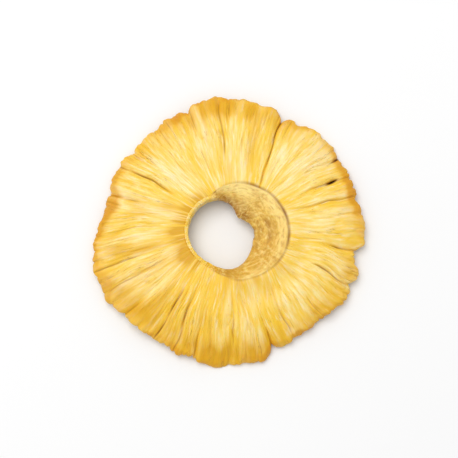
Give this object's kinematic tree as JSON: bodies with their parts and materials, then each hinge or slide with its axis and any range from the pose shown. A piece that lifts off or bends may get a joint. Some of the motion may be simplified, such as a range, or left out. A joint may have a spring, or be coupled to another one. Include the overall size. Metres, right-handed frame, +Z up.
{
  "type": "dried baby pineapple ring",
  "caption": "Thin warped ring of dried pineapple: radial fibre folds, a notched crimped rim, and an off-centre hole with a crescent of core left beside it.",
  "frame": {"origin": "on the table under the middle of the ring's outline, halfway across it in X and in Y", "axes": "+Z up out of the face that shows the crescent of core; +X towards the crescent's wide side; +Y away from the viewer, the picture's upward direction"},
  "size_m": [0.0646, 0.0642, 0.0067],
  "materials": {
    "dried_flesh": "dull golden-yellow dried fruit flesh, paler on the folds' crowns, golden brown at the rim"
  },
  "bodies": {
    "root": {"pineapple_ring": "dried_flesh"}
  },
  "joints": []
}
